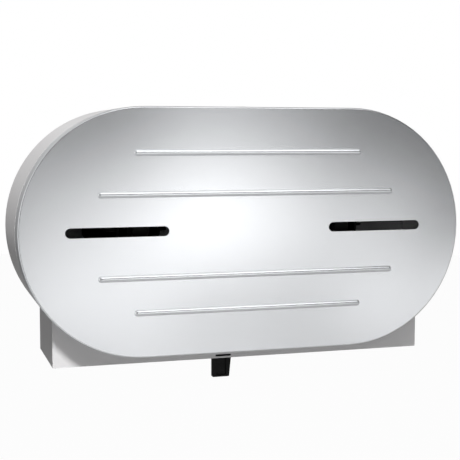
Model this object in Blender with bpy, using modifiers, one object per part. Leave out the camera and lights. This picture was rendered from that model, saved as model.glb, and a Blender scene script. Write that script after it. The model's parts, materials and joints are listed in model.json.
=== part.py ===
"""Twin jumbo-roll toilet paper dispenser in satin stainless steel, for a wall.

Metres, +Z up. The origin is in the middle of the wall face, level with the two
spindles. The front looks along -Y and the long side runs along X.
"""
import math

import bmesh
import bpy
from mathutils import Matrix

# Overall sizes
WIDTH = 0.527
FACE_HEIGHT = 0.280
DEPTH = 0.140
DOOR_DEPTH = 0.0256
CHUTE_INSET = 0.0395
SKIRT_SHOW = 0.0115

# Sheet metal and clearances
SHEET = 0.0008
BACK_SHEET = 0.0012
SEAT = 0.0003
OVERRUN = 0.002
END_STEPS = 36

# Door: pressed beads, viewing slots, front edge
DOOR_EDGE_RADIUS = 0.0018
DOOR_EDGE_SEGMENTS = 3
BEAD_HALF_WIDTH = 0.0035
BEAD_HEIGHT = 0.0024
BEAD_STEPS = 16
SHORT_BEAD = 0.272
LONG_BEAD = 0.353
OUTER_BEAD_RISE = 0.0891
UPPER_BEAD_RISE = 0.0430
LOWER_BEAD_DROP = 0.0498
SLOT_LENGTH = 0.1165
SLOT_HEIGHT = 0.0112
SLOT_CENTRE = 0.154
SLOT_RISE = 0.0018
SLOT_STEPS = 8

# Front frame and back plate
FRAME_LIP = 0.012
WINDOW_LENGTH = 0.0188
WINDOW_HEIGHT = 0.0025
WINDOW_RISE = 0.0031
KEYHOLE_X = 0.180
KEYHOLE_RISE = 0.070
KEYHOLE_RADIUS = 0.0050
KEYHOLE_SLOT_RADIUS = 0.0026
KEYHOLE_SLOT = 0.0095
KEYHOLE_STEPS = 8

# Piano hinge under the door
HINGE_END_SPACE = 0.0015
HINGE_LEAF = 0.0008
HINGE_PIN_RADIUS = 0.0010
KNUCKLE_COUNT = 17
DOOR_LEAF_WIDTH = 0.0165
FRAME_LEAF_HEIGHT = 0.0130
KNUCKLE_STEPS = 12

# Rolls, spindles and hubs
ROLL_DIAMETER = 0.2286
ROLL_GAP = 0.0174
ROLL_WIDTH = 0.095
POST_RADIUS = 0.00635
POST_BASE_RADIUS = 0.022
POST_BASE = 0.003
POST_CHAMFER = 0.001
HUB_DISC_RADIUS = 0.050
HUB_DISC = 0.0025
HUB_SLEEVE_RADIUS = 0.0105
HUB_DRUM_RADIUS = 0.0250
HUB_WALL = 0.0022
HUB_FIN_RADIUS = 0.0365
HUB_FIN_FRONT_RADIUS = 0.0350
HUB_FIN = 0.0026
HUB_FIN_LEAD = 0.006
HUB_FIN_STOP = 0.004
HUB_FINS = 6
WASHER_RADIUS = 0.0135
WASHER = 0.0015
CAP_RADIUS = 0.0100
CAP_LENGTH = 0.0095
CAP_TOP = 0.0022
CAP_ROUND = 0.0025
CAP_ROUND_STEPS = 4
TURNED_STEPS = 24

# Tear bars and shutter
TEAR_BAR_INNER_END = 0.048
TEAR_BAR_END_SPACE = 0.009
TEAR_BAR_SHEET = 0.001
TEAR_BAR_SPACE = 0.001
TOOTH_PITCH = 0.006
TOOTH_DEPTH = 0.0030
TOOTH_TIP_INSET = 0.0015
RAIL_SHEET = 0.0008
RAIL_INNER = 0.0030
RAIL_DEPTH = 0.0080
RAIL_DROP = 0.0005
SHUTTER_MIDDLE_SPACE = 0.0107
SHUTTER_SHEET = 0.001
SHUTTER_END_PLAY = 0.001
SHUTTER_SIDE_PLAY = 0.001
SHUTTER_CORNER = 0.004
SHUTTER_CORNER_STEPS = 4
TAB_INSET = 0.0137
TAB_WIDTH = 0.0209
TAB_LEAN = 0.0041
TAB_REACH = 0.0248
TAB_DEPTH = 0.0060
TAB_CORNER = 0.0014
TAB_CORNER_STEPS = 4
TAB_EDGE = 0.0006
TAB_EDGE_SEGMENTS = 2
TAB_SIDE_RIM = 0.0040
TAB_END_RIM = 0.0020
TAB_DISH = 0.0018
TAB_DISH_HEIGHT = 0.0217
TAB_FOOT_LENGTH = 0.0300
TAB_FOOT_DEPTH = 0.0150
TAB_FOOT = 0.0022

# Tumbler lock in the top of the band
LOCK_SETBACK = 0.0180
LOCK_HEAD_RADIUS = 0.0105
LOCK_HEAD = 0.0010
LOCK_HEAD_CHAMFER = 0.0004
LOCK_BODY_RADIUS = 0.0080
LOCK_BODY_LENGTH = 0.0220
LOCK_PLUG_RADIUS = 0.0058
LOCK_PLUG_SINK = 0.0002
LOCK_NUT_RADIUS = 0.0118
LOCK_NUT = 0.0040
KEYWAY_LENGTH = 0.0074
KEYWAY_WIDTH = 0.0014
KEYWAY_DEPTH = 0.0060
CAM_LENGTH = 0.0245
CAM_SHEET = 0.0020
CAM_HUB_RADIUS = 0.0070
CAM_TIP_RADIUS = 0.0045
CAM_STEPS = 10
SCREW_RADIUS = 0.0018
SCREW_HEAD_RADIUS = 0.0038
SCREW_HEAD = 0.0024
SCREW_LENGTH = 0.0065
SCREW_STEPS = 12
HEX_SIDES = 6
KEEPER_SHEET = 0.0015
KEEPER_WIDTH = 0.0130
KEEPER_CLEARANCE = 0.0010
KEEPER_FOOT = 0.0140
KEEPER_INSET = 0.0040
KEEPER_LIP = 0.0020
LOCK_STEPS = 20

# Planes and places that follow from the sizes
END_RADIUS = FACE_HEIGHT / 2
SKIRT_DROP = END_RADIUS + SKIRT_SHOW
END_CENTRE_X = WIDTH / 2 - END_RADIUS
CHUTE_WIDTH = WIDTH - 2 * CHUTE_INSET
CHUTE_HALF = CHUTE_WIDTH / 2
FACE_Y = -DEPTH
DOOR_RIM_Y = FACE_Y + DOOR_DEPTH
JOINT_GAP = HINGE_LEAF + 2 * SEAT
FRAME_FRONT_Y = DOOR_RIM_Y + JOINT_GAP
FRAME_REAR_Y = FRAME_FRONT_Y + SHEET
BACK_FRONT_Y = -BACK_SHEET
OPENING_RADIUS = END_RADIUS - FRAME_LIP
SPINDLE_X = (ROLL_DIAMETER + ROLL_GAP) / 2

BORE_RADIUS = HINGE_PIN_RADIUS + SEAT
KNUCKLE_RADIUS = BORE_RADIUS + HINGE_LEAF
HINGE_LENGTH = 2 * (END_CENTRE_X - HINGE_END_SPACE)
HINGE_Y = FRAME_FRONT_Y - SEAT - KNUCKLE_RADIUS
HINGE_Z = -END_RADIUS - SEAT - KNUCKLE_RADIUS

RAIL_TOP_Z = -OPENING_RADIUS - RAIL_DROP
RAIL_HEIGHT = RAIL_INNER + 2 * RAIL_SHEET
RAIL_BOTTOM_Z = RAIL_TOP_Z - RAIL_HEIGHT
SHUTTER_Z = RAIL_BOTTOM_Z + RAIL_SHEET + SEAT + SHUTTER_SHEET / 2
SHUTTER_LENGTH = CHUTE_HALF - SHEET - SHUTTER_END_PLAY - SHUTTER_MIDDLE_SPACE
TAB_X = -SHUTTER_MIDDLE_SPACE - TAB_INSET
TEAR_BAR_OUTER_END = CHUTE_HALF - TEAR_BAR_END_SPACE

LOCK_Y = FRAME_REAR_Y + LOCK_SETBACK
LOCK_BOTTOM_Z = END_RADIUS - LOCK_BODY_LENGTH
CAM_TOP_Z = LOCK_BOTTOM_Z - SEAT
CAM_BOTTOM_Z = CAM_TOP_Z - CAM_SHEET
CAM_LEAN = math.asin((CAM_HUB_RADIUS - CAM_TIP_RADIUS) / (CAM_LENGTH - CAM_TIP_RADIUS))

# Turns that stand a flat outline up: across the front, or along the long side
UPRIGHT = (math.radians(90), 0, 0)
ALONG_X = (math.radians(90), 0, math.radians(90))
LEVEL = (0, 0, 0)
LEFT, RIGHT = -1, 1
SIDES = ((LEFT, "left"), (RIGHT, "right"))
WELD = 0.00001
SMOOTH_ANGLE = math.radians(32)
STRAIGHT_ANGLE = math.radians(0.5)
REAR_NORMAL_SHARE = 0.9


def empty_scene():
    for item in list(bpy.data.objects):
        bpy.data.objects.remove(item, do_unlink=True)


def new_collection(name):
    collection = bpy.data.collections.new(name)
    bpy.context.scene.collection.children.link(collection)
    return collection


def principled(name, color, roughness, metallic):
    material = bpy.data.materials.new(name)
    material.use_nodes = True
    shader = material.node_tree.nodes["Principled BSDF"]
    shader.inputs["Base Color"].default_value = (*color, 1)
    shader.inputs["Roughness"].default_value = roughness
    shader.inputs["Metallic"].default_value = metallic
    return material


empty_scene()
PARTS = new_collection("jumbo_roll_dispenser")
CUTTERS = new_collection("cutters")
SATIN_STEEL = principled("satin_steel", (0.60, 0.61, 0.62), 0.34, 1.0)
PLAIN_STEEL = principled("plain_steel", (0.50, 0.51, 0.52), 0.42, 1.0)
BRIGHT_STEEL = principled("bright_steel", (0.68, 0.68, 0.69), 0.22, 1.0)
BLACK_PLASTIC = principled("black_plastic", (0.012, 0.012, 0.013), 0.42, 0.0)
NICKEL = principled("nickel", (0.66, 0.64, 0.60), 0.20, 1.0)


def arc(centre, radius, start, end, steps):
    """Points along an arc from start to end, in degrees, with both ends."""
    turns = [math.radians(start + (end - start) * step / steps) for step in range(steps + 1)]
    return [(centre[0] + radius * math.cos(turn), centre[1] + radius * math.sin(turn)) for turn in turns]


def circle(radius, steps):
    """Closed outline about zero."""
    return arc((0, 0), radius, 0, 360, steps)[:-1]


def stadium(half_length, radius, steps):
    """Closed outline about zero: two half circles joined by straight runs."""
    return arc((half_length, 0), radius, -90, 90, steps) + arc((-half_length, 0), radius, 90, 270, steps)


def rectangle(width, height, centre=(0, 0)):
    x, z = centre
    return [(x - width / 2, z - height / 2), (x + width / 2, z - height / 2),
            (x + width / 2, z + height / 2), (x - width / 2, z + height / 2)]


def housing_outline():
    """Edge shared by band, back plate and front frame: up the left side, over the top, down the right."""
    meet = math.degrees(math.acos((CHUTE_HALF - END_CENTRE_X) / END_RADIUS))
    left_end = arc((-END_CENTRE_X, 0), END_RADIUS, 180 + meet, 90, END_STEPS)
    right_end = arc((END_CENTRE_X, 0), END_RADIUS, 90, -meet, END_STEPS)
    return [(-CHUTE_HALF, -SKIRT_DROP)] + left_end + right_end + [(CHUTE_HALF, -SKIRT_DROP)]


def finish_mesh(mesh):
    """Weld the caps of a mesh made from a curve and point its faces outward."""
    shape = bmesh.new()
    shape.from_mesh(mesh)
    bmesh.ops.remove_doubles(shape, verts=shape.verts, dist=WELD)
    bmesh.ops.dissolve_limit(shape, angle_limit=STRAIGHT_ANGLE, verts=shape.verts, edges=shape.edges)
    bmesh.ops.recalc_face_normals(shape, faces=shape.faces)
    shape.to_mesh(mesh)
    shape.free()


def shade(mesh):
    mesh.shade_smooth()
    mesh.set_sharp_from_angle(angle=SMOOTH_ANGLE)


def place(name, mesh, location, turn, material):
    """Add a part to the model, or a cutter where no material is given."""
    item = bpy.data.objects.new(name, mesh)
    item.location = location
    item.rotation_euler = turn
    if material:
        PARTS.objects.link(item)
        mesh.materials.append(material)
        shade(mesh)
    else:
        CUTTERS.objects.link(item)
        item.hide_render = True
        item.display_type = "WIRE"
    return item


def evaluated_mesh(item):
    """Mesh of an object with its modifiers or curve settings applied."""
    bpy.context.view_layer.update()
    depsgraph = bpy.context.evaluated_depsgraph_get()
    return bpy.data.meshes.new_from_object(item.evaluated_get(depsgraph))


def mesh_of_curve(name, loops, thickness, closed):
    curve = bpy.data.curves.new(name, "CURVE")
    curve.dimensions = "2D"
    curve.fill_mode = "BOTH" if closed else "NONE"
    curve.extrude = thickness / 2
    for loop in loops:
        spline = curve.splines.new("POLY")
        spline.points.add(len(loop) - 1)
        for point, (u, v) in zip(spline.points, loop):
            point.co = (u, v, 0, 1)
        spline.use_cyclic_u = closed
    item = bpy.data.objects.new(name, curve)
    bpy.context.scene.collection.objects.link(item)
    mesh = evaluated_mesh(item)
    bpy.data.objects.remove(item, do_unlink=True)
    finish_mesh(mesh)
    mesh.name = name
    return mesh


def plate(name, loops, thickness, location, turn, material=None):
    """Flat piece: the first outline is its edge and the others are holes; location is mid-thickness."""
    return place(name, mesh_of_curve(name, loops, thickness, True), location, turn, material)


def strip(name, path, width, thickness, offset, location, turn, material=None):
    """Bent strip along an open path, thickened to one side or about its middle."""
    item = place(name, mesh_of_curve(name, [path], width, False), location, turn, material)
    solidify(item, thickness, offset)
    return item


def solidify(item, thickness, offset):
    shell = item.modifiers.new("wall", "SOLIDIFY")
    shell.thickness = thickness
    shell.offset = offset
    shell.use_even_offset = True


def turned(name, profile, location, turn, material=None, steps=TURNED_STEPS):
    """Turned piece about its own Z axis; the profile is (radius, height), outer side top to bottom."""
    ring = profile[0][0] > 0
    mesh = bpy.data.meshes.new(name)
    edges = [(i, i + 1) for i in range(len(profile) - 1)]
    if ring:
        edges.append((len(profile) - 1, 0))
    mesh.from_pydata([(radius, 0, height) for radius, height in profile], edges, [])
    blank = bpy.data.objects.new(name, mesh)
    bpy.context.scene.collection.objects.link(blank)
    spin = blank.modifiers.new("turn", "SCREW")
    spin.steps = steps
    spin.render_steps = steps
    spin.use_merge_vertices = True
    spin.merge_threshold = WELD
    result = evaluated_mesh(blank)
    bpy.data.objects.remove(blank, do_unlink=True)
    result.name = name
    return place(name, result, location, turn, material)


def boolean(item, tool, operation):
    cut = item.modifiers.new(tool.name, "BOOLEAN")
    cut.operation = operation
    cut.object = tool
    cut.solver = "EXACT"


def bevel(item, width, segments):
    edge = item.modifiers.new("edge", "BEVEL")
    edge.width = width
    edge.segments = segments
    edge.limit_method = "ANGLE"
    edge.angle_limit = math.radians(60)


def axis_empty(name, location):
    """Empty on a joint's axis, which carries the pieces that move with the joint."""
    pivot = bpy.data.objects.new(name, None)
    pivot.location = location
    pivot.empty_display_size = CAM_LENGTH
    PARTS.objects.link(pivot)
    return pivot


def carry(pivot, *items):
    for item in items:
        item.parent = pivot
        item.location = item.location - pivot.location


def keyhole(x, z):
    """Keyhole outline: a round hole for the screw's head with a slot above for its shank."""
    open_half = math.degrees(math.asin(KEYHOLE_SLOT_RADIUS / KEYHOLE_RADIUS))
    head = arc((x, z), KEYHOLE_RADIUS, 90 + open_half, 450 - open_half, 2 * KEYHOLE_STEPS)
    slot = arc((x, z + KEYHOLE_SLOT), KEYHOLE_SLOT_RADIUS, 0, 180, KEYHOLE_STEPS)
    return head + slot


def make_back_plate():
    holes = [keyhole(x, z) for x in (-KEYHOLE_X, KEYHOLE_X) for z in (-KEYHOLE_RISE, KEYHOLE_RISE)]
    plate("back_plate", [housing_outline()] + holes, BACK_SHEET, (0, -BACK_SHEET / 2, 0), UPRIGHT,
          PLAIN_STEEL)


def make_band():
    """One strip bent round the whole outline, from one foot of the lower box to the other."""
    front = FRAME_REAR_Y + SEAT
    rear = BACK_FRONT_Y - SEAT
    band = strip("housing_band", housing_outline(), rear - front, SHEET, -1,
                 (0, (front + rear) / 2, 0), UPRIGHT, SATIN_STEEL)
    hole = plate("lock_hole", [circle(LOCK_BODY_RADIUS + SEAT, LOCK_STEPS)], 2 * (SHEET + OVERRUN),
                 (0, LOCK_Y, END_RADIUS), LEVEL)
    boolean(band, hole, "DIFFERENCE")


def make_front_frame():
    opening = stadium(END_CENTRE_X, OPENING_RADIUS, END_STEPS)
    window = rectangle(WINDOW_LENGTH, WINDOW_HEIGHT, (TAB_X, WINDOW_RISE - SKIRT_DROP))
    plate("front_frame", [housing_outline(), opening, window], SHEET,
          (0, (FRAME_FRONT_Y + FRAME_REAR_Y) / 2, 0), UPRIGHT, SATIN_STEEL)


def capsule(name, length, radius, steps):
    """Round bar with ball ends, lying along its own Z axis."""
    half = length / 2 - radius
    top = [(abs(x), half + z) for x, z in arc((0, 0), radius, 90, 0, steps // 4)]
    bottom = [(abs(x), z - half) for x, z in arc((0, 0), radius, 0, -90, steps // 4)]
    top[0] = (0, half + radius)
    bottom[-1] = (0, -half - radius)
    return turned(name, top + bottom, (0, 0, 0), LEVEL, steps=steps)


def press_bead(pan, name, length, z):
    """Push a long rounded bead out of the face and a matching groove in behind it."""
    turn = (0, math.radians(90), 0)
    raised = capsule(name, length, BEAD_HALF_WIDTH, BEAD_STEPS)
    raised.scale.y = BEAD_HEIGHT / BEAD_HALF_WIDTH
    shape = bmesh.new()
    shape.from_mesh(raised.data)
    behind = SHEET / 2 / raised.scale.y
    everything = shape.verts[:] + shape.edges[:] + shape.faces[:]
    bmesh.ops.bisect_plane(shape, geom=everything, plane_co=(0, behind, 0), plane_no=(0, 1, 0),
                           clear_outer=True)
    bmesh.ops.holes_fill(shape, edges=[edge for edge in shape.edges if edge.is_boundary])
    shape.to_mesh(raised.data)
    shape.free()
    groove = capsule(name + "_groove", length - 2 * SHEET, BEAD_HALF_WIDTH - SHEET, BEAD_STEPS)
    groove.scale.y = (BEAD_HEIGHT - SHEET) / (BEAD_HALF_WIDTH - SHEET)
    for tool, operation in ((raised, "UNION"), (groove, "DIFFERENCE")):
        tool.rotation_euler = turn
        tool.location = (0, FACE_Y, z)
        boolean(pan, tool, operation)


def make_door_pan():
    """Drawn pan: stadium face, rounded front edge, straight wall back to the rim."""
    pan = plate("door_pan", [stadium(END_CENTRE_X, END_RADIUS, END_STEPS)], DOOR_DEPTH,
                (0, FACE_Y + DOOR_DEPTH / 2, 0), UPRIGHT, SATIN_STEEL)
    shape = bmesh.new()
    shape.from_mesh(pan.data)
    rear = [face for face in shape.faces if face.normal.z < -REAR_NORMAL_SHARE]
    bmesh.ops.delete(shape, geom=rear, context="FACES_ONLY")
    shape.to_mesh(pan.data)
    shape.free()
    bevel(pan, DOOR_EDGE_RADIUS, DOOR_EDGE_SEGMENTS)
    solidify(pan, SHEET, -1)
    press_bead(pan, "bead_top", SHORT_BEAD, OUTER_BEAD_RISE)
    press_bead(pan, "bead_upper", LONG_BEAD, UPPER_BEAD_RISE)
    press_bead(pan, "bead_lower", LONG_BEAD, -LOWER_BEAD_DROP)
    press_bead(pan, "bead_bottom", SHORT_BEAD, -OUTER_BEAD_RISE)
    for side, name in SIDES:
        outline = stadium((SLOT_LENGTH - SLOT_HEIGHT) / 2, SLOT_HEIGHT / 2, SLOT_STEPS)
        slot = plate(name + "_viewing_slot", [outline], 2 * (SHEET + OVERRUN),
                     (side * SLOT_CENTRE, FACE_Y, SLOT_RISE), UPRIGHT)
        boolean(pan, slot, "DIFFERENCE")
    return pan


def leaf_section(width):
    """Knuckle with a leaf on its tangent: (away from the knuckle, to the leaf's side), and the bore."""
    inner = KNUCKLE_RADIUS - HINGE_LEAF
    start = math.degrees(math.asin(inner / KNUCKLE_RADIUS))
    leaf = [(width, KNUCKLE_RADIUS), (width, inner)]
    return leaf + arc((0, 0), KNUCKLE_RADIUS, start, -270, KNUCKLE_STEPS), circle(BORE_RADIUS, KNUCKLE_STEPS)


def make_leaf(name, width, to_place, first_knuckle):
    """Piano hinge leaf that keeps every second knuckle, beginning with first_knuckle."""
    loops = [[to_place(u, v) for u, v in loop] for loop in leaf_section(width)]
    leaf = plate(name, loops, HINGE_LENGTH, (0, HINGE_Y, HINGE_Z), ALONG_X, PLAIN_STEEL)
    knuckle = HINGE_LENGTH / KNUCKLE_COUNT
    reach = KNUCKLE_RADIUS + SEAT
    for number in range(1 - first_knuckle, KNUCKLE_COUNT, 2):
        start = number * knuckle - HINGE_LENGTH / 2 - SEAT / 2
        end = start + knuckle + SEAT
        if number == 0:
            start -= OVERRUN
        if number == KNUCKLE_COUNT - 1:
            end += OVERRUN
        notch = plate(f"{name}_notch_{number}", [rectangle(2 * reach, 2 * reach)], end - start,
                      ((start + end) / 2, HINGE_Y, HINGE_Z), ALONG_X)
        boolean(leaf, notch, "DIFFERENCE")
    return leaf


def make_hinge():
    """Leaf under the door's flange, leaf up the front frame, and the pin through both."""
    door_leaf = make_leaf("hinge_door_leaf", DOOR_LEAF_WIDTH, lambda u, v: (-u, v), 1)
    make_leaf("hinge_frame_leaf", FRAME_LEAF_HEIGHT, lambda u, v: (v, u), 0)
    half = HINGE_LENGTH / 2
    turned("hinge_pin", [(0, half), (HINGE_PIN_RADIUS, half), (HINGE_PIN_RADIUS, -half), (0, -half)],
           (0, HINGE_Y, HINGE_Z), (0, math.radians(90), 0), PLAIN_STEEL, KNUCKLE_STEPS)
    return door_leaf


def make_spindle(side, name):
    """Post on the back plate, the hub that turns on it, and the washer and cap that keep the hub on."""
    def on_axis(y):
        return (side * SPINDLE_X, y, 0)

    post_rear = BACK_FRONT_Y - SEAT
    hub_rear = post_rear - POST_BASE - SEAT
    hub_length = HUB_DISC + ROLL_WIDTH
    washer_rear = hub_rear - hub_length - SEAT
    cap_rear = washer_rear - WASHER - SEAT
    post_length = post_rear - cap_rear + CAP_LENGTH - CAP_TOP - SEAT
    turned(name + "_spindle_post",
           [(0, post_length), (POST_RADIUS - POST_CHAMFER, post_length),
            (POST_RADIUS, post_length - POST_CHAMFER), (POST_RADIUS, POST_BASE),
            (POST_BASE_RADIUS, POST_BASE), (POST_BASE_RADIUS, 0), (0, 0)],
           on_axis(post_rear), UPRIGHT, PLAIN_STEEL)
    bore = POST_RADIUS + SEAT
    turned(name + "_hub_washer", [(WASHER_RADIUS, WASHER), (WASHER_RADIUS, 0), (bore, 0), (bore, WASHER)],
           on_axis(washer_rear), UPRIGHT, BLACK_PLASTIC)
    crown = arc((CAP_RADIUS - CAP_ROUND, CAP_LENGTH - CAP_ROUND), CAP_ROUND, 90, 0, CAP_ROUND_STEPS)
    turned(name + "_spindle_cap",
           [(0, CAP_LENGTH)] + crown + [(CAP_RADIUS, 0), (bore, 0), (bore, CAP_LENGTH - CAP_TOP),
                                        (0, CAP_LENGTH - CAP_TOP)],
           on_axis(cap_rear), UPRIGHT, BLACK_PLASTIC)
    make_hub(name + "_hub", on_axis(hub_rear), bore, hub_length)


def make_hub(name, location, bore, length):
    """Moulded hub: disc, sleeve and open drum turned in one, with fins that centre the roll's core."""
    inner_drum = HUB_DRUM_RADIUS - HUB_WALL
    hub = turned(name,
                 [(HUB_DRUM_RADIUS, length), (HUB_DRUM_RADIUS, HUB_DISC), (HUB_DISC_RADIUS, HUB_DISC),
                  (HUB_DISC_RADIUS, 0), (bore, 0), (bore, length), (HUB_SLEEVE_RADIUS, length),
                  (HUB_SLEEVE_RADIUS, HUB_DISC), (inner_drum, HUB_DISC), (inner_drum, length)],
                 location, UPRIGHT, BLACK_PLASTIC)
    root = HUB_DRUM_RADIUS - HUB_WALL / 2
    fin_end = length - HUB_FIN_STOP
    fin_outline = [(root, HUB_DISC / 2), (HUB_FIN_RADIUS, HUB_DISC / 2),
                   (HUB_FIN_FRONT_RADIUS, fin_end - HUB_FIN_LEAD), (root, fin_end)]
    for number in range(HUB_FINS):
        fin = plate(f"{name}_fin_{number}", [fin_outline], HUB_FIN, location, UPRIGHT)
        fin.data.transform(stand_on_axis(number / HUB_FINS))
        fin.rotation_euler = UPRIGHT
        boolean(hub, fin, "UNION")


def stand_on_axis(share_of_turn):
    """Turn a flat outline so that it stands on the hub's axis, then round that axis."""
    return Matrix.Rotation(share_of_turn * math.tau, 4, "Z") @ Matrix.Rotation(math.radians(90), 4, "X")


def make_tear_bar(side, name):
    """Toothed bar behind the skirt, teeth down."""
    top = RAIL_BOTTOM_Z - TEAR_BAR_SPACE
    root = -SKIRT_DROP + TOOTH_TIP_INSET + TOOTH_DEPTH
    count = int((TEAR_BAR_OUTER_END - TEAR_BAR_INNER_END) / TOOTH_PITCH)
    pitch = (TEAR_BAR_OUTER_END - TEAR_BAR_INNER_END) / count
    outline = [(side * TEAR_BAR_OUTER_END, top), (side * TEAR_BAR_INNER_END, top)]
    for tooth in range(count):
        start = TEAR_BAR_INNER_END + tooth * pitch
        outline += [(side * start, root), (side * (start + pitch / 2), root - TOOTH_DEPTH)]
    outline.append((side * TEAR_BAR_OUTER_END, root))
    plate(name + "_tear_bar", [outline], TEAR_BAR_SHEET,
          (0, FRAME_REAR_Y + SEAT + TEAR_BAR_SHEET / 2, 0), UPRIGHT, BRIGHT_STEEL)


def make_rails():
    """Two channels, open toward each other, that carry the shutter's front and rear edges."""
    length = CHUTE_WIDTH - 2 * (SHEET + SEAT)
    section = [(0, 0), (RAIL_DEPTH, 0), (RAIL_DEPTH, RAIL_SHEET), (RAIL_SHEET, RAIL_SHEET),
               (RAIL_SHEET, RAIL_HEIGHT - RAIL_SHEET), (RAIL_DEPTH, RAIL_HEIGHT - RAIL_SHEET),
               (RAIL_DEPTH, RAIL_HEIGHT), (0, RAIL_HEIGHT)]
    plate("front_shutter_rail", [section], length,
          (0, FRAME_REAR_Y + SEAT, RAIL_BOTTOM_Z), ALONG_X, PLAIN_STEEL)
    plate("rear_shutter_rail", [[(-y, z) for y, z in section]], length,
          (0, BACK_FRONT_Y - SEAT, RAIL_BOTTOM_Z), ALONG_X, PLAIN_STEEL)


def rounded_rectangle(width, height, radius, steps):
    x = width / 2 - radius
    z = height / 2 - radius
    corners = (((x, -z), -90), ((x, z), 0), ((-x, z), 90), ((-x, -z), 180))
    return [point for centre, start in corners for point in arc(centre, radius, start, start + 90, steps)]


def tab_outline(reach):
    """Blade of the finger tab: its top is at zero, its right edge leans and its lower corners are round."""
    half = TAB_WIDTH / 2
    inner = half - TAB_CORNER
    left = arc((-inner, TAB_CORNER - reach), TAB_CORNER, 180, 270, TAB_CORNER_STEPS)
    right = arc((inner, TAB_CORNER - reach), TAB_CORNER, 270, 360, TAB_CORNER_STEPS)
    return [(half + TAB_LEAN, 0), (-half, 0)] + left + right


def make_shutter():
    """Sliding plate at its left stop, with the finger tab under its inner end."""
    front = FRAME_REAR_Y + SEAT + RAIL_SHEET + SHUTTER_SIDE_PLAY
    rear = BACK_FRONT_Y - SEAT - RAIL_SHEET - SHUTTER_SIDE_PLAY
    left = -CHUTE_HALF + SHEET + SHUTTER_END_PLAY
    middle = (left + SHUTTER_LENGTH / 2, (front + rear) / 2, SHUTTER_Z)
    shutter = plate("shutter_plate",
                    [rounded_rectangle(SHUTTER_LENGTH, rear - front, SHUTTER_CORNER, SHUTTER_CORNER_STEPS)],
                    SHUTTER_SHEET, middle, LEVEL, SATIN_STEEL)
    top = SHUTTER_Z - SHUTTER_SHEET / 2 - SEAT
    tab_front = FRAME_REAR_Y + SEAT + RAIL_DEPTH + SEAT
    reach = top + SKIRT_DROP + TAB_REACH
    tab = plate("shutter_tab", [tab_outline(reach)], TAB_DEPTH,
                (TAB_X, tab_front + TAB_DEPTH / 2, top), UPRIGHT, BLACK_PLASTIC)
    bevel(tab, TAB_EDGE, TAB_EDGE_SEGMENTS)
    foot = plate("tab_foot",
                 [rounded_rectangle(TAB_FOOT_LENGTH, TAB_FOOT_DEPTH, TAB_CORNER, TAB_CORNER_STEPS)],
                 TAB_FOOT, (TAB_X, tab_front + TAB_EDGE + TAB_FOOT_DEPTH / 2, top - TAB_FOOT / 2), LEVEL)
    boolean(tab, foot, "UNION")
    dish_width = TAB_WIDTH - 2 * TAB_SIDE_RIM
    dish_outline = rounded_rectangle(dish_width, TAB_DISH_HEIGHT, TAB_CORNER, TAB_CORNER_STEPS)
    dish_z = top - reach + TAB_END_RIM + TAB_DISH_HEIGHT / 2
    dish = plate("tab_dish", [dish_outline], 2 * TAB_DISH, (TAB_X, tab_front, dish_z), UPRIGHT)
    boolean(tab, dish, "DIFFERENCE")
    return shutter, tab


def cam_outline():
    """Cam from above at rest: round about the screw, with an arm that narrows forward to a round tip."""
    centre_gap = CAM_LENGTH - CAM_TIP_RADIUS
    lean = math.degrees(CAM_LEAN)
    hub = arc((0, 0), CAM_HUB_RADIUS, -lean, 180 + lean, CAM_STEPS)
    tip = arc((0, -centre_gap), CAM_TIP_RADIUS, 180 + lean, 360 - lean, CAM_STEPS)
    return hub + tip


def make_lock():
    """Tumbler lock in the top of the band: barrel and nut, and the plug, cam and screw that turn."""
    def on_axis(z):
        return (0, LOCK_Y, z)

    plug_bore = LOCK_PLUG_RADIUS + SEAT
    head_rim = LOCK_HEAD - LOCK_HEAD_CHAMFER
    head_bottom = END_RADIUS + SEAT
    turned("lock_barrel",
           [(LOCK_HEAD_RADIUS - LOCK_HEAD_CHAMFER, LOCK_HEAD), (LOCK_HEAD_RADIUS, head_rim),
            (LOCK_HEAD_RADIUS, 0), (LOCK_BODY_RADIUS, 0), (LOCK_BODY_RADIUS, LOCK_BOTTOM_Z - head_bottom),
            (plug_bore, LOCK_BOTTOM_Z - head_bottom), (plug_bore, LOCK_HEAD)],
           on_axis(head_bottom), LEVEL, NICKEL, LOCK_STEPS)
    nut_top = END_RADIUS - SHEET - SEAT
    plate("lock_nut", [circle(LOCK_NUT_RADIUS, HEX_SIDES), circle(LOCK_BODY_RADIUS + SEAT, LOCK_STEPS)],
          LOCK_NUT, on_axis(nut_top - LOCK_NUT / 2), LEVEL, NICKEL)
    plug_top = head_bottom + LOCK_HEAD - LOCK_PLUG_SINK
    plug_height = plug_top - LOCK_BOTTOM_Z
    screw_bore = SCREW_RADIUS + SEAT
    plug = turned("lock_plug",
                  [(0, plug_height), (LOCK_PLUG_RADIUS, plug_height), (LOCK_PLUG_RADIUS, 0), (screw_bore, 0),
                   (screw_bore, SCREW_LENGTH), (0, SCREW_LENGTH)],
                  on_axis(LOCK_BOTTOM_Z), LEVEL, NICKEL, LOCK_STEPS)
    keyway = plate("keyway", [rectangle(KEYWAY_WIDTH, KEYWAY_LENGTH)], 2 * KEYWAY_DEPTH,
                   on_axis(plug_top), LEVEL)
    boolean(plug, keyway, "DIFFERENCE")
    cam = plate("lock_cam", [cam_outline(), circle(screw_bore, SCREW_STEPS)], CAM_SHEET,
                on_axis((CAM_TOP_Z + CAM_BOTTOM_Z) / 2), LEVEL, PLAIN_STEEL)
    head_top = CAM_BOTTOM_Z - SEAT
    shank_top = LOCK_BOTTOM_Z - head_top + SCREW_LENGTH - SEAT
    screw = turned("cam_screw",
                   [(0, shank_top), (SCREW_RADIUS, shank_top), (SCREW_RADIUS, 0), (SCREW_HEAD_RADIUS, 0),
                    (SCREW_HEAD_RADIUS, -SCREW_HEAD), (0, -SCREW_HEAD)],
                   on_axis(head_top), LEVEL, NICKEL, LOCK_STEPS)
    return plug, cam, screw


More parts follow.
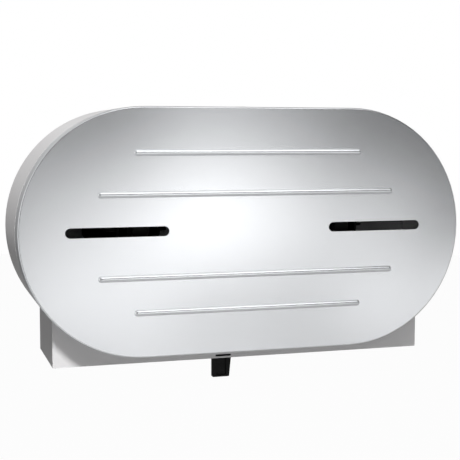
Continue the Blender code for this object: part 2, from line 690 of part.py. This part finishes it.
def make_keeper():
    """Bent bracket on the door's top flange; its lip hangs behind the cam's path when the door is shut."""
    half = KEEPER_SHEET / 2
    foot_z = END_RADIUS - SHEET - SEAT - half
    leg_y = DOOR_RIM_Y - KEEPER_INSET
    run_z = CAM_TOP_Z + KEEPER_CLEARANCE + half
    arm_half = (CAM_HUB_RADIUS - (CAM_LENGTH - KEEPER_WIDTH) * math.sin(CAM_LEAN)) / math.cos(CAM_LEAN)
    lip_y = LOCK_Y + arm_half + KEEPER_CLEARANCE + half
    path = [(leg_y - KEEPER_FOOT, foot_z), (leg_y, foot_z), (leg_y, run_z), (lip_y, run_z),
            (lip_y, CAM_BOTTOM_Z - KEEPER_LIP)]
    return strip("lock_keeper", path, KEEPER_WIDTH, KEEPER_SHEET, 0,
                 (CAM_LENGTH - KEEPER_WIDTH / 2, 0, 0), ALONG_X, PLAIN_STEEL)


def build():
    make_back_plate()
    make_band()
    make_front_frame()
    make_rails()
    for side, name in SIDES:
        make_spindle(side, name)
        make_tear_bar(side, name)
    door_axis = axis_empty("door_axis", (0, HINGE_Y, HINGE_Z))
    carry(door_axis, make_door_pan(), make_hinge(), make_keeper())
    shutter_slide = axis_empty("shutter_slide", (TAB_X, 0, SHUTTER_Z))
    carry(shutter_slide, *make_shutter())
    lock_axis = axis_empty("lock_axis", (0, LOCK_Y, END_RADIUS))
    carry(lock_axis, *make_lock())


build()
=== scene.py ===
"""Twin jumbo-roll dispenser: finishes, small fasteners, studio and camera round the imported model.

Metres. The wall face is the plane y = 0, the front looks along -Y and +Z is up.
"""
import json
import math

import bmesh
import bpy
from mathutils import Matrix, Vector

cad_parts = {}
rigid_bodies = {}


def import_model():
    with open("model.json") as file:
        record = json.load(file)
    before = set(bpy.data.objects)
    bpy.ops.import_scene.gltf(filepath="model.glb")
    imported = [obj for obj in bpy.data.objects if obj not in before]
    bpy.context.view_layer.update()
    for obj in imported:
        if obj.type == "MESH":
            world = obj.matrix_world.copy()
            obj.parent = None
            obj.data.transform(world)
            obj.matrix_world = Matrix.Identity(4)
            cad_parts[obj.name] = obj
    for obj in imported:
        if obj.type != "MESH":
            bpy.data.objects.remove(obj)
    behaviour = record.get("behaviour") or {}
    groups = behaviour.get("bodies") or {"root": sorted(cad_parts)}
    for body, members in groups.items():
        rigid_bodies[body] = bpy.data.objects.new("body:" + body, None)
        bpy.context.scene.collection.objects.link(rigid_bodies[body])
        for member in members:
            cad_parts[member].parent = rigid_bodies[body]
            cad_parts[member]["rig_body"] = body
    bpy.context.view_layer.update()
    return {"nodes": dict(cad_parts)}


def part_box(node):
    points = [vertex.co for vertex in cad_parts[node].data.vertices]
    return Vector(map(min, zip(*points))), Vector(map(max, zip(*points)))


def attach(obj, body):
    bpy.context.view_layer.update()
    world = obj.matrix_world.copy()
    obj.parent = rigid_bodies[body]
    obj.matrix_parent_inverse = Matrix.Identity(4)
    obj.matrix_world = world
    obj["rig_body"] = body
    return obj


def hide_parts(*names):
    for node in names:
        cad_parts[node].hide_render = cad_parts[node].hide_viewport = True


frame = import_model()

MM = 0.001
UP, DOWN, BACK = (0, 0, 1), (0, 0, -1), (0, 1, 0)


# Nodes for the finishes

MIX_FIRST, MIX_SECOND, MIX_RESULT = 6, 7, 2     # the colour sockets of a Mix node


class Signal:
    """One output of a finish's nodes; arithmetic on it adds Math nodes."""

    def __init__(self, finish, socket):
        self.finish = finish
        self.socket = socket

    def math(self, operation, *values):
        return self.finish.add("ShaderNodeMath", {"operation": operation},
                               dict(enumerate(values)))

    def __add__(self, other):
        return self.math("ADD", self, other)

    def __sub__(self, other):
        return self.math("SUBTRACT", self, other)

    def __rsub__(self, other):
        return self.math("SUBTRACT", other, self)

    def __mul__(self, other):
        return self.math("MULTIPLY", self, other)

    def __truediv__(self, other):
        return self.math("DIVIDE", self, other)

    def __pow__(self, other):
        return self.math("POWER", self, other)

    __radd__ = __add__
    __rmul__ = __mul__

    def size(self):
        return self.math("ABSOLUTE", self)

    def larger(self, other):
        return self.math("MAXIMUM", self, other)

    def rise(self, start, end):
        """Zero before start, one after end, smooth between."""
        return self.finish.add("ShaderNodeMapRange", {"interpolation_type": "SMOOTHSTEP"},
                               {"Value": self, "From Min": start, "From Max": end})


class Finish:
    """A node tree, for a surface or for the world, whose nodes are added one call at a time."""

    def __init__(self, tree, output, shader):
        tree.nodes.clear()
        self.tree = tree
        self.end = tree.nodes.new(output)
        self.shader = tree.nodes.new(shader)
        tree.links.new(self.shader.outputs[0], self.end.inputs["Surface"])

    def add(self, kind, settings=None, inputs=None, output=0):
        node = self.tree.nodes.new(kind)
        for name, value in (settings or {}).items():
            setattr(node, name, value)
        for name, value in (inputs or {}).items():
            self.feed(node.inputs[name], value)
        return Signal(self, node.outputs[output])

    def feed(self, socket, value):
        if isinstance(value, Signal):
            self.tree.links.new(value.socket, socket)
        else:
            socket.default_value = value

    def give(self, **values):
        """Set sockets of the closing shader, by name with underscores for spaces."""
        for name, value in values.items():
            self.feed(self.shader.inputs[name.replace("_", " ")], value)

    def parts(self, vector):
        return [self.add("ShaderNodeSeparateXYZ", inputs={0: vector}, output=axis)
                for axis in range(3)]

    def axes(self, kind="ShaderNodeTexCoord", output="Object"):
        return self.parts(self.add(kind, output=output))

    def point(self, x, y, z):
        return self.add("ShaderNodeCombineXYZ", inputs={0: x, 1: y, 2: z})

    def noise(self, at, scale, detail=2.0, rough=0.5):
        return self.add("ShaderNodeTexNoise", inputs={"Vector": at, "Scale": scale,
                                                      "Detail": detail, "Roughness": rough})

    def tint(self, share, first, second):
        """Colour between two colours."""
        return self.add("ShaderNodeMix", {"data_type": "RGBA"},
                        {"Factor": share, MIX_FIRST: opaque(first), MIX_SECOND: opaque(second)},
                        output=MIX_RESULT)

    def relief(self, height, depth, strength):
        self.give(Normal=self.add("ShaderNodeBump", inputs={
            "Height": height, "Distance": depth, "Strength": strength}))

    def looks(self):
        """One where the camera looks, and one where metal or glass mirrors or lets through."""
        seen, mirrored, through = [self.add("ShaderNodeLightPath", output=f"Is {kind} Ray")
                                   for kind in ("Camera", "Glossy", "Transmission")]
        return seen, mirrored + through


def opaque(colour):
    """A colour for a socket: three parts become four, and a signal stays."""
    return colour if isinstance(colour, Signal) else (*colour, 1)


def shade(colour, share):
    return [share * part for part in colour]


def surface(name):
    material = bpy.data.materials.new(name)
    material.use_nodes = True
    return material, Finish(material.node_tree, "ShaderNodeOutputMaterial",
                            "ShaderNodeBsdfPrincipled")


# Finishes. A grain's counts are its changes per metre along it and across it, and the scale of
# a noise is its changes per metre.

SATIN_ALONG, SATIN_ACROSS = 18, 4200
MILL_ALONG, MILL_ACROSS = 14, 700
TURNED_ALONG, TURNED_ACROSS = 40, 5200
PLATE_ALONG, PLATE_ACROSS = 60, 3800
FOLD_START, FOLD_END = 0.02 * MM, 0.5 * MM      # how far behind the face the folded rim's painted shade and dulling begin and end
# painted shade on the door's folded rim: how far its colour goes towards the near black below
FOLD_PAINTED_SHADE = 0.2
FOLD_SHADE_COLOUR = (0.02, 0.02, 0.02)


def satin_steel(name, grain, polish, metal, pale, dull_rim=0.0):
    """Satin sheet with a fine grain: along the length, or round the outline on a wrapped strip.

    polish is its roughness. dull_rim is how much duller the sheet is behind the front's edge,
    where it was folded and only brushed; there its colour also goes darker, a painted shade.
    """
    material, finish = surface(name)
    x, y, z = finish.axes()
    if grain == "along":
        normal = finish.add("ShaderNodeNewGeometry", output="Normal")
        flat = finish.parts(normal)[1].size().rise(0.4, 0.6)
        across = z * flat + y * (1 - flat)
        along = x + z * (1 - flat)
    else:
        across = y
        along = x + z
    lines = finish.noise(finish.point(along * SATIN_ALONG, across * SATIN_ACROSS, 0), 1.0,
                         detail=3.0, rough=0.6)
    clouds = finish.noise(finish.point(x, y, z), 9.0, detail=3.0, rough=0.55)
    smears = finish.noise(finish.point(x * 4, y * 4, z * 9), 3.0, detail=4.0, rough=0.6)
    colour = finish.tint(clouds, shade(pale, 0.97), shade(pale, 1.03))
    roughness = (polish + 0.015 * (lines - 0.5) + 0.01 * (clouds - 0.5)
                 + 0.006 * smears.rise(0.5, 0.75))
    if dull_rim:
        # painted shade: behind the face the rim's colour is darkened towards near black, and it is
        # made rougher
        fold_shade_and_dulling = y.rise(FACE_Y + FOLD_START, FACE_Y + FOLD_END)
        colour = finish.tint(fold_shade_and_dulling * FOLD_PAINTED_SHADE, colour, FOLD_SHADE_COLOUR)
        roughness = roughness + dull_rim * fold_shade_and_dulling
    finish.give(Base_Color=colour, Roughness=roughness, Metallic=metal)
    finish.relief(lines, depth=0.002 * MM, strength=0.10)
    return material


def mill_steel(name):
    """Plain sheet as it comes from the mill: dull, faintly clouded, with rolling streaks."""
    material, finish = surface(name)
    x, y, z = finish.axes()
    clouds = finish.noise(finish.point(x, y, z), 22.0, detail=4.0, rough=0.6)
    streaks = finish.noise(finish.point(x * MILL_ALONG, y * MILL_ACROSS, z * MILL_ACROSS), 1.0)
    scuffs = finish.noise(finish.point(x * 90, y * 30, z * 260), 1.0, detail=5.0, rough=0.7)
    finish.give(Base_Color=finish.tint(clouds, (0.44, 0.45, 0.46), (0.53, 0.535, 0.54)),
                Roughness=0.36 + 0.12 * clouds + 0.06 * scuffs.rise(0.62, 0.72), Metallic=0.85)
    finish.relief(streaks + 0.5 * clouds, depth=0.015 * MM, strength=0.3)
    return material


def turned_steel(name, middle_x=None):
    """Bright steel, ground straight, or turned about the two axes that run front to back.

    The axes lie at middle_x to the right of the middle and to the left of it.
    """
    material, finish = surface(name)
    x, y, z = finish.axes()
    across = ((x.size() - middle_x) ** 2 + z ** 2) ** 0.5 if middle_x else z
    rings = finish.noise(finish.point(across * TURNED_ACROSS, y * TURNED_ALONG, 0), 1.0)
    clouds = finish.noise(finish.point(x, y, z), 60.0, detail=3.0)
    finish.give(Base_Color=finish.tint(clouds, (0.63, 0.63, 0.635), (0.72, 0.72, 0.72)),
                Roughness=0.20 + 0.08 * rings + 0.06 * clouds, Metallic=0.95)
    finish.relief(rings, depth=0.008 * MM, strength=0.3)
    return material


def black_plastic(name, rubbing):
    """Moulded black plastic with a fine spark texture; rubbing is how far handling dulled it."""
    material, finish = surface(name)
    x, y, z = finish.axes()
    place = finish.point(x, y, z)
    spark = finish.noise(place, 2600.0, rough=0.6)
    flow = finish.noise(place, 35.0, detail=3.0, rough=0.55)
    rubbed = finish.noise(place, 160.0, detail=5.0, rough=0.65).rise(0.52, 0.7) * rubbing
    finish.give(Base_Color=finish.tint(rubbed, (0.0030, 0.0030, 0.0032), (0.010, 0.010, 0.010)),
                Roughness=0.45 + 0.08 * flow + 0.08 * rubbed, Metallic=0.0,
                Specular_IOR_Level=0.15)
    finish.relief(spark, depth=0.02 * MM, strength=0.35)
    return material


def nickel_plate(name, middle_y):
    """Bright nickel plating, brushed in rings round the lock's upright axis at x = 0."""
    material, finish = surface(name)
    x, y, z = finish.axes()
    across = (x ** 2 + (y - middle_y) ** 2) ** 0.5
    rings = finish.noise(finish.point(across * PLATE_ACROSS, z * PLATE_ALONG, 0), 1.0)
    clouds = finish.noise(finish.point(x, y, z), 140.0, detail=3.0)
    finish.give(Base_Color=finish.tint(clouds, (0.64, 0.615, 0.575), (0.70, 0.68, 0.64)),
                Roughness=0.16 + 0.09 * rings + 0.05 * clouds, Metallic=1.0)
    finish.relief(rings, depth=0.006 * MM, strength=0.25)
    return material


def middle_of(node):
    low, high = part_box(node)
    return (Vector(low) + Vector(high)) / 2


BEAD_PROUD = 2.4 * MM
FACE_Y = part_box("door_pan")[0].y + BEAD_PROUD

# the door's folded rim is made duller and carries a painted shade
FACE_STEEL = satin_steel("satin_steel_door", "along", polish=0.22, metal=0.95,
                         pale=(0.628, 0.639, 0.655), dull_rim=0.15)
FRAME_STEEL = satin_steel("satin_steel_frame", "along", polish=0.62, metal=0.20,
                          pale=(0.600, 0.594, 0.598))
WRAP_STEEL = satin_steel("satin_steel_wrap", "round", polish=0.33, metal=0.80,
                         pale=(0.628, 0.616, 0.620))
MILL_STEEL = mill_steel("mill_steel")
POST_STEEL = turned_steel("turned_steel", middle_of("right_spindle_post").x)
GROUND_STEEL = turned_steel("ground_steel")
RIVET_STEEL = mill_steel("rivet_steel")
HUB_PLASTIC = black_plastic("black_plastic_hub", 0.3)
TAB_PLASTIC = black_plastic("black_plastic_tab", 0.6)
NICKEL = nickel_plate("nickel_plate", middle_of("lock_plug").y)

FINISH_OF = {
    FACE_STEEL: ("door_pan",),
    FRAME_STEEL: ("front_frame", "shutter_plate"),
    WRAP_STEEL: ("housing_band",),
    MILL_STEEL: ("back_plate", "front_shutter_rail", "rear_shutter_rail", "hinge_frame_leaf",
                 "hinge_door_leaf", "hinge_pin", "lock_keeper", "lock_cam"),
    POST_STEEL: ("left_spindle_post", "right_spindle_post"),
    GROUND_STEEL: ("left_tear_bar", "right_tear_bar"),
    HUB_PLASTIC: ("left_hub", "right_hub", "left_hub_washer", "right_hub_washer",
                  "left_spindle_cap", "right_spindle_cap"),
    TAB_PLASTIC: ("shutter_tab",),
    NICKEL: ("lock_barrel", "lock_nut", "lock_plug", "cam_screw"),
}
for finish_material, nodes in FINISH_OF.items():
    for node in nodes:
        frame["nodes"][node].data.materials.clear()
        frame["nodes"][node].data.materials.append(finish_material)


# Round shading for the curved solids

WELD = 0.001 * MM                   # corners nearer than this are one
SHARP_ANGLE = math.radians(40)      # edges sharper than this stay creased
FLAT_ANGLE = math.radians(0.15)     # faces nearer than this to one plane become one
FLAT_LEAD = 80                      # how far large faces lead the shading over small ones

ROUND_NODES = ("door_pan", "housing_band", "front_frame", "left_hub", "right_hub",
               "left_hub_washer", "right_hub_washer", "left_spindle_cap", "right_spindle_cap",
               "left_spindle_post", "right_spindle_post", "shutter_tab", "lock_barrel",
               "lock_plug", "lock_nut", "lock_keeper", "lock_cam", "hinge_frame_leaf",
               "hinge_door_leaf", "hinge_pin")


def new_piece(name, shape, material, body):
    """Close a bmesh into an object of one finish that rides on a body."""
    bmesh.ops.remove_doubles(shape, verts=shape.verts, dist=WELD)
    bmesh.ops.recalc_face_normals(shape, faces=shape.faces)
    mesh = bpy.data.meshes.new(name)
    shape.to_mesh(mesh)
    shape.free()
    if "custom_normal" in mesh.attributes:
        mesh.attributes.remove(mesh.attributes["custom_normal"])
    mesh.shade_smooth()
    mesh.set_sharp_from_angle(angle=SHARP_ANGLE)
    mesh.materials.clear()
    mesh.materials.append(material)
    piece = bpy.data.objects.new(name, mesh)
    bpy.context.scene.collection.objects.link(piece)
    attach(piece, body)
    return piece


def shade_round(node):
    """Put a welded copy of a solid in its place: its curves are shaded round, its flats flat."""
    solid = frame["nodes"][node]
    shape = bmesh.new()
    shape.from_mesh(solid.data)
    bmesh.ops.remove_doubles(shape, verts=shape.verts, dist=WELD)
    bmesh.ops.dissolve_limit(shape, angle_limit=FLAT_ANGLE, verts=shape.verts,
                             edges=shape.edges)
    piece = new_piece(node + "_round", shape, solid.data.materials[0],
                      solid["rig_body"])
    even = piece.modifiers.new("even_shading", "WEIGHTED_NORMAL")
    even.keep_sharp = True
    even.weight = FLAT_LEAD
    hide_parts(node)


for round_node in ROUND_NODES:
    shade_round(round_node)


# Rivet heads. Each kind has its radius and height; the profile is in shares of these. INSET is
# from the piece's ends, DEPTH from its front edge and DROP from its top edge. Under the leaf and
# the keeper's foot, the heads sit on the lower face of the SHEET.

RIVET_PROFILE = ((0, -0.05), (1, -0.05), (1, 0.16), (0.95, 0.42), (0.8, 0.7), (0.55, 0.9),
                 (0.25, 0.99), (0, 1))
RIVET_SIDES = 20

HINGE_RIVET = (1.7 * MM, 0.7 * MM)
HINGE_RIVETS = 7
HINGE_RIVET_INSET = 12 * MM
HINGE_RIVET_DEPTH = 2.4 * MM
HINGE_LEAF_SHEET = 0.8 * MM

KEEPER_RIVET = (1.8 * MM, 0.8 * MM)
KEEPER_RIVET_INSET = 3.5 * MM
KEEPER_RIVET_DEPTH = 5.5 * MM
KEEPER_SHEET = 1.5 * MM

BAR_RIVET = (2.2 * MM, 0.9 * MM)
BAR_RIVETS = 3
BAR_RIVET_INSET = 10 * MM
BAR_RIVET_DROP = 5.5 * MM

TAB_RIVET = (1.8 * MM, 0.7 * MM)
TAB_RIVET_OFFSET = 9 * MM


def rivet_heads(name, spots, out, kind, body):
    """Low domed rivet heads on a flat face that looks along out."""
    radius, height = kind
    out = Vector(out)
    side = out.orthogonal().normalized()
    shape = bmesh.new()
    for spot in spots:
        foot = Vector(spot)
        points = [shape.verts.new(foot + side * (radius * r) + out * (height * h))
                  for r, h in RIVET_PROFILE]
        edges = [shape.edges.new(pair) for pair in zip(points, points[1:])]
        bmesh.ops.spin(shape, geom=points + edges, cent=foot, axis=out, angle=math.tau,
                       steps=RIVET_SIDES, use_merge=True)
    return new_piece(name, shape, RIVET_STEEL, body)


def spread(start, end, count):
    return [start + (end - start) * number / (count - 1) for number in range(count)]


def make_rivets():
    """Heads under the hinge's door leaf and the keeper's foot, behind the tear bars, on the tab."""
    low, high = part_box("hinge_door_leaf")
    row = spread(low.x + HINGE_RIVET_INSET, high.x - HINGE_RIVET_INSET, HINGE_RIVETS)
    rivet_heads("hinge_rivets",
                [(x, low.y + HINGE_RIVET_DEPTH, high.z - HINGE_LEAF_SHEET) for x in row],
                DOWN, HINGE_RIVET, "door")
    low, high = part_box("lock_keeper")
    row = (low.x + KEEPER_RIVET_INSET, high.x - KEEPER_RIVET_INSET)
    rivet_heads("keeper_rivets",
                [(x, low.y + KEEPER_RIVET_DEPTH, high.z - KEEPER_SHEET) for x in row],
                DOWN, KEEPER_RIVET, "door")
    for side in ("left", "right"):
        low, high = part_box(side + "_tear_bar")
        row = spread(low.x + BAR_RIVET_INSET, high.x - BAR_RIVET_INSET, BAR_RIVETS)
        rivet_heads(side + "_tear_bar_rivets",
                    [(x, high.y, high.z - BAR_RIVET_DROP) for x in row],
                    BACK, BAR_RIVET, "housing")
    middle = middle_of("shutter_tab")
    plate_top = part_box("shutter_plate")[1].z
    rivet_heads("tab_rivets",
                [(middle.x + step, middle.y, plate_top)
                 for step in (-TAB_RIVET_OFFSET, TAB_RIVET_OFFSET)],
                UP, TAB_RIVET, "shutter")


# The cam's screw

SCREW_SIDES = 24
SCREW_HEAD_PROFILE = (      # step inwards from the head's edge, height over its lower face
    (0.7 * MM, 0), (0.2 * MM, 0.3 * MM), (0, 0.9 * MM), (0, 2.4 * MM))
SCREW_HEAD_HEIGHT = SCREW_HEAD_PROFILE[-1][1]
SHANK_RADIUS = 1.8 * MM
SHANK_TIP_RADIUS = 1.4 * MM
SHANK_TIP_LENGTH = 0.4 * MM
CROSS_ARM = 2.1 * MM
CROSS_HALF = 0.42 * MM      # half the width of an arm
CROSS_DEPTH = 1.2 * MM
CROSS_FLOOR_SHARE = 0.8


def ring(shape, radius, z, middle):
    turns = [math.tau * number / SCREW_SIDES for number in range(SCREW_SIDES)]
    return [shape.verts.new((middle.x + radius * math.cos(turn),
                             middle.y + radius * math.sin(turn), z)) for turn in turns]


def join(shape, first, second):
    """Quads between two closed loops of the same count."""
    count = len(first)
    for here in range(count):
        there = (here + 1) % count
        shape.faces.new((first[here], first[there], second[there], second[here]))


def loop_edges(shape, loop):
    return [shape.edges.get(pair) or shape.edges.new(pair)
            for pair in zip(loop, loop[1:] + loop[:1])]


def make_cam_screw():
    """Pan head with a cross recess, under the cam."""
    low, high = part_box("cam_screw")
    middle = middle_of("cam_screw")
    head = (high.x - low.x) / 2
    stations = [(head - step, low.z + height) for step, height in SCREW_HEAD_PROFILE]
    stations += [(SHANK_RADIUS, low.z + SCREW_HEAD_HEIGHT),
                 (SHANK_RADIUS, high.z - SHANK_TIP_LENGTH), (SHANK_TIP_RADIUS, high.z)]
    shape = bmesh.new()
    rings = [ring(shape, radius, z, middle) for radius, z in stations]
    for first, second in zip(rings, rings[1:]):
        join(shape, first, second)
    shape.faces.new(rings[-1])
    arm, half = CROSS_ARM, CROSS_HALF
    corners = ((arm, -half), (arm, half), (half, half), (half, arm), (-half, arm),
               (-half, half), (-arm, half), (-arm, -half), (-half, -half), (-half, -arm),
               (half, -arm), (half, -half))
    mouth, bottom = [[shape.verts.new((middle.x + x * share, middle.y + y * share, z))
                      for x, y in corners]
                     for share, z in ((1, low.z), (CROSS_FLOOR_SHARE, low.z + CROSS_DEPTH))]
    bmesh.ops.triangle_fill(shape, edges=loop_edges(shape, rings[0]) + loop_edges(shape, mouth),
                            use_dissolve=False)
    join(shape, mouth, bottom)
    shape.faces.new(bottom)
    screw = new_piece("cam_screw_cross", shape, NICKEL, "lock")
    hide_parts("cam_screw")


make_rivets()
make_cam_screw()


# Studio

WHITE = (1, 1, 1, 1)
ROOM = 0.05                             # brightness of the dim room in front
SWEEP_LOW, SWEEP_HIGH = 0.20, 0.45      # of the sweep behind, at the floor and overhead
MIRRORED_SWEEP = 0.60                   # of the sweep as metal mirrors it

FLOOR_RADIUS = 14.0
FLOOR_Z = -1.6
FLOOR_SIDES = 64
FLOOR_GREY = (0.62, 0.62, 0.62, 1)
FLOOR_WHITENESS = 0.97                  # for the camera; the rest shows the object's shadow


def behind(y):
    """How far a direction from the middle, y being its part along Y, points at the sweep."""
    return y.rise(-0.1, 0.6)


def white_sides(x, y):
    """Where the white room at both sides begins, for a direction with these parts."""
    left = (x * -1).rise(0.2, 0.65)
    right = x.rise(0.75, 0.98)
    return (left + right) * (1 - behind(y))


def make_floor():
    """Matt floor that is white to the camera, and to metal that mirrors its two sides."""
    mesh = bpy.data.meshes.new("floor")
    shape = bmesh.new()
    bmesh.ops.create_circle(shape, cap_ends=True, segments=FLOOR_SIDES, radius=FLOOR_RADIUS)
    shape.to_mesh(mesh)
    shape.free()
    floor = bpy.data.objects.new("floor", mesh)
    floor.location = (0, 0, FLOOR_Z)
    bpy.context.scene.collection.objects.link(floor)
    material = bpy.data.materials.new("pale_floor")
    material.use_nodes = True
    finish = Finish(material.node_tree, "ShaderNodeOutputMaterial", "ShaderNodeMixShader")
    seen, mirrored = finish.looks()
    x, y, z = finish.axes("ShaderNodeNewGeometry", "Position")
    far = (x ** 2 + y ** 2 + z ** 2) ** 0.5
    matt = finish.add("ShaderNodeBsdfDiffuse", inputs={"Color": FLOOR_GREY})
    glow = finish.add("ShaderNodeEmission", inputs={"Color": WHITE, "Strength": 1.0})
    whiteness = FLOOR_WHITENESS * seen + mirrored * white_sides(x / far, y / far)
    for socket, value in zip(finish.shader.inputs, (whiteness, matt, glow)):
        finish.feed(socket, value)
    mesh.materials.append(material)


def make_world():
    """White to the camera. Light comes from a pale sweep behind and a dim room in front, and metal
    mirrors these and the white sides.
    """
    world = bpy.data.worlds.new("studio")
    bpy.context.scene.world = world
    world.use_nodes = True
    finish = Finish(world.node_tree, "ShaderNodeOutputWorld", "ShaderNodeBackground")
    x, y, z = finish.axes(output="Generated")
    sweep = behind(y)
    overhead = z.rise(-0.25, 0.15)
    seen, mirrored = finish.looks()
    studio = (sweep * (SWEEP_LOW + (SWEEP_HIGH - SWEEP_LOW) * overhead)
              + (1 - sweep) * ROOM * overhead)
    backdrop = seen + mirrored * (MIRRORED_SWEEP * sweep * overhead + white_sides(x, y))
    finish.give(Color=WHITE, Strength=studio.larger(backdrop))


# Lamps. Azimuths are degrees from straight in front, positive to the right.

NEAR, FAR = 2.4, 3.0
LAMP_TARGET = Vector((0, -0.14, 0))     # the middle of the door's face
WALL_PANEL = 0.36
WALL_ROWS = (       # elevation, and each panel's azimuth and watts
    (3, ((2, 0.07), (15, 0.46), (21, 0.21))),
    (-4, ((2, 0.40), (9, 0.58), (15, 1.08), (21, 0.72), (29, 0.48))),
    (-11, ((2, 0.79), (9, 0.66), (15, 0.24), (21, 0.25), (29, 0.70), (39, 1.34))),
    (-20, ((9, 0.65), (15, 0.51), (21, 0.75), (29, 0.33))),
)


def lamp(name, azimuth, elevation, distance, size, watts):
    """Softbox seen from the door's face at an azimuth and elevation."""
    turn = math.radians(azimuth)
    lift = math.radians(elevation)
    out = Vector((math.sin(turn) * math.cos(lift), -math.cos(turn) * math.cos(lift),
                  math.sin(lift)))
    light = bpy.data.lights.new(name, "AREA")
    light.shape = "RECTANGLE"
    light.size, light.size_y = size
    light.energy = watts
    item = bpy.data.objects.new(name, light)
    item.location = LAMP_TARGET + out * distance
    item.rotation_euler = (-out).to_track_quat("-Z", "Y").to_euler()
    item.visible_camera = False
    bpy.context.scene.collection.objects.link(item)
    return item


def make_lamps():
    """Small key for the hard shadow, unseen in mirrors, large boxes, and a wall of dim panels."""
    key = lamp("key", -29.7, 51, NEAR, (0.30, 0.30), 112)
    key.visible_glossy = False
    lamp("top_box", 5, 65, NEAR, (2.4, 2.2), 22)
    lamp("high_box", 17, 32, FAR, (1.6, 1.1), 13)
    lamp("left_box", -75, 5, NEAR, (1.6, 1.6), 4)
    lamp("back_box", -150, 45, NEAR, (2.0, 2.0), 7)
    for elevation, panels in WALL_ROWS:
        for azimuth, watts in panels:
            lamp(f"wall_{azimuth}_{elevation}", azimuth, elevation, FAR,
                 (WALL_PANEL, WALL_PANEL), watts)


# Camera

CAMERA_PLACE = (-0.3701, -1.2266, 0.1039)
CAMERA_AIM = (0.27772, 0.95646, -0.08973)
SENSOR_MM = 36
FOCAL_PIXELS = 1009.9
PICTURE_PIXELS = 460
AXIS_PIXELS_LEFT = 25       # how far left of the picture's middle the camera aims


def make_camera():
    data = bpy.data.cameras.new("camera")
    data.sensor_width = SENSOR_MM
    data.lens = FOCAL_PIXELS / PICTURE_PIXELS * SENSOR_MM
    data.shift_x = AXIS_PIXELS_LEFT / PICTURE_PIXELS
    camera = bpy.data.objects.new("camera", data)
    camera.location = CAMERA_PLACE
    camera.rotation_euler = Vector(CAMERA_AIM).to_track_quat("-Z", "Y").to_euler()
    bpy.context.scene.collection.objects.link(camera)
    bpy.context.scene.camera = camera


bpy.context.scene.view_settings.view_transform = "Standard"
make_camera()
make_world()
make_floor()
make_lamps()
